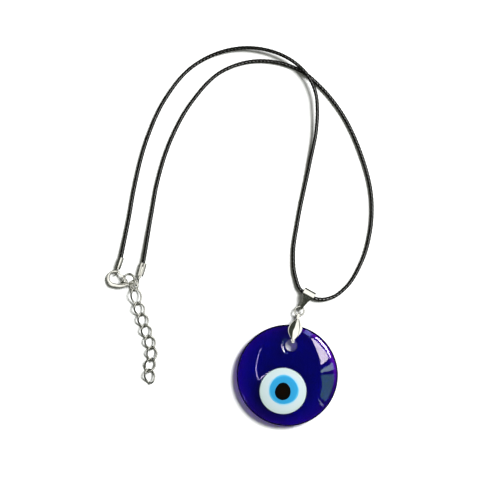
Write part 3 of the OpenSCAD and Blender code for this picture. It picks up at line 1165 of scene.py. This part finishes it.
def floor():
    """A matt white table under the piece, which polished pieces don't mirror."""
    material, nodes, links, shader = new_material("white_table")
    set_inputs(shader, Base_Color=(0.93, 0.94, 0.93, 1), Roughness=0.9)
    shader.inputs["Specular IOR Level"].default_value = 0.1
    half, z = TABLE_HALF, TABLE_Z - TABLE_GAP
    corners = [(-half, -half, z), (half, -half, z), (half, half, z), (-half, half, z)]
    plane = add_mesh("table", corners, [(0, 1, 2, 3)], material, smooth=False)
    plane.visible_glossy = False


def world(strength, seen):
    """A dim room for light and reflections, and a pale backdrop for the camera."""
    sky = bpy.data.worlds.new("studio")
    sky.use_nodes = True
    nodes, links = sky.node_tree.nodes, sky.node_tree.links
    background = nodes["Background"]
    background.inputs["Color"].default_value = (0.9, 1.0, 0.78, 1)
    background.inputs["Strength"].default_value = strength
    backdrop = nodes.new("ShaderNodeBackground")
    backdrop.inputs["Color"].default_value = (0.97, 0.98, 0.97, 1)
    backdrop.inputs["Strength"].default_value = seen
    path = nodes.new("ShaderNodeLightPath")
    mix = nodes.new("ShaderNodeMixShader")
    links.new(path.outputs["Is Camera Ray"], mix.inputs[0])
    links.new(background.outputs[0], mix.inputs[1])
    links.new(backdrop.outputs[0], mix.inputs[2])
    links.new(mix.outputs[0], nodes["World Output"].inputs["Surface"])
    bpy.context.scene.world = sky


def area(name, at, aim, size, power, colour=(1, 1, 1), through=True):
    """A square lamp. Where through is False, rays that come through the glass don't see it."""
    data = bpy.data.lights.new(name, "AREA")
    data.shape = "SQUARE"
    data.size = size * MM
    data.energy = power
    data.color = colour
    lamp = bpy.data.objects.new(name, data)
    lamp.location = Vector(at) * MM
    lamp.rotation_mode = "QUATERNION"
    lamp.rotation_quaternion = (Vector(aim) - Vector(at)).to_track_quat("-Z", "Y")
    bpy.context.scene.collection.objects.link(lamp)
    lamp.visible_camera = False
    lamp.visible_glossy = False
    lamp.visible_transmission = through
    return lamp


floor()
world(strength=0.05, seen=1.0)
area("key", KEY_AT, LAMPS_AIM, KEY_SIZE, KEY_POWER, through=False)
area("key_through", KEY_AT, LAMPS_AIM, KEY_SIZE, KEY_THROUGH_POWER)
area("fill", (-20, 40, 1500), LAMPS_AIM, 1800, FILL_POWER, (1.0, 1.0, 0.9))

GLASSES = group("glass_pieces", "glass_body", "opaline_white", "light_blue_layer", "black_pupil")
WAXED = group("waxed_pieces", "waxed_cord")
METALS = group(
    "metal_pieces", "leaf_clip", "clip_jump", "tapered_bail", "left_cord_end", "right_cord_end",
    "joining_jump", "clasp_", "extender_link",
)
LEFT_LIT = group("left_lit_pieces", "right_cord_end", "clasp_claw", "joining_jump")
# Each outline is on the glass, where the panel is mirrored.
PANES = [
    ("window_pane", (1.0, 0.88, 1.0), 17, [
        (6.7, 15.7), (7.5, 16.15), (10.35, 14.45), (13.05, 11.95), (14.85, 9.5), (12.3, 6.3),
        (11.3, 8.9), (9.5, 12.1),
    ]),
    ("window_side_pane", (1.0, 0.98, 1.0), 34, [
        (8.05, 16.58), (8.68, 16.97), (11.4, 15.25), (14.05, 12.78), (15.75, 10.15),
        (15.38, 9.84), (13.48, 12.42), (10.78, 14.88),
    ]),
    ("window_top_pane", (0.35, 0.5, 1.0), 5.5, [
        (3.3, 17.8), (4.2, 19.1), (7.1, 17.8), (5.9, 16.3),
    ]),
    ("window_low_pane", (0.75, 1.0, 0.95), 5.0, [
        (12.4, 4.7), (16.6, 8.4), (17.5, 5.6), (12.8, 3.5),
    ]),
    ("garden_view", (0.4, 1.0, 0.35), 1.7, [
        (12.8, 2.6), (18.1, 3.9), (18.4, -0.7), (17.5, -5.5), (16.6, -7.5), (13.9, -5.8),
        (14.0, -1.1),
    ]),
    ("garden_corner", (0.8, 0.85, 1.0), 3.5, [
        (13.3, -6.6), (16.2, -8.8), (15.7, -9.8), (14.4, -8.7),
    ]),
]
for name, colour, strength, outline in PANES:
    softbox(name, outline, colour, strength, GLASSES)
glint(
    "lamp_line",
    [(-12.0, 9.0), (-12.7, 6.1), (-12.8, 3.2), (-12.6, 0.3), (-11.9, -2.1), (-10.7, -3.6),
     (-10.0, -2.6), (-8.8, -1.0), (-7.6, 0.5)],
    [0.15, 0.25, 0.3, 0.35, 0.4, 0.4, 0.35, 0.2, 0.1], (0.8, 0.62, 1.0), 18, GLASSES,
)
glint(
    "low_line", [(-16.4, -10.0), (-15.2, -11.5), (-13.9, -12.8)], [0.2, 0.3, 0.2],
    (0.5, 0.4, 1.0), 7, GLASSES,
)

CEILING = [
    (500, -330), (500, 760), (-440, 760), (-440, -420), (-190, -420), (-110, -60), (80, -90),
    (200, -330),
]
ONE_FACE = [(0, 1, 2, 3)]
WALLS = [
    ("ceiling", WALL_WHITE, 1.2, METALS, [tuple(range(8))], [(x, y, 600) for x, y in CEILING]),
    ("far_wall", WALL_WHITE, 1.1, METALS, ONE_FACE, [
        (-150, 760, 20), (500, 760, 20), (500, 760, 600), (-150, 760, 600),
    ]),
    ("side_wall", WALL_WHITE, 0.6, METALS, ONE_FACE, [
        (1000, -200, 60), (1000, 700, 60), (1000, 700, 420), (1000, -200, 420),
    ]),
    ("left_wall", WALL_WHITE, 0.8, LEFT_LIT, ONE_FACE, [
        (-700, -250, 60), (-700, 700, 60), (-700, 700, 700), (-700, -250, 700),
    ]),
    ("low_wall", WALL_WHITE, 0.9, LEFT_LIT, [(0, 1, 4, 5), (1, 2, 3, 4)], [
        (-650, -350, 60), (-150, -700, 60), (300, -700, 60), (300, -700, 650),
        (-150, -700, 650), (-650, -350, 650),
    ]),
    ("cord_window", (1.0, 1.0, 1.0), 11, WAXED, ONE_FACE, [
        (180, -300, 900), (420, -300, 900), (420, 700, 900), (180, 700, 900),
    ]),
]
for name, colour, strength, seen_by, faces, points in WALLS:
    mirror_panel(name, points, faces, colour, strength, seen_by)
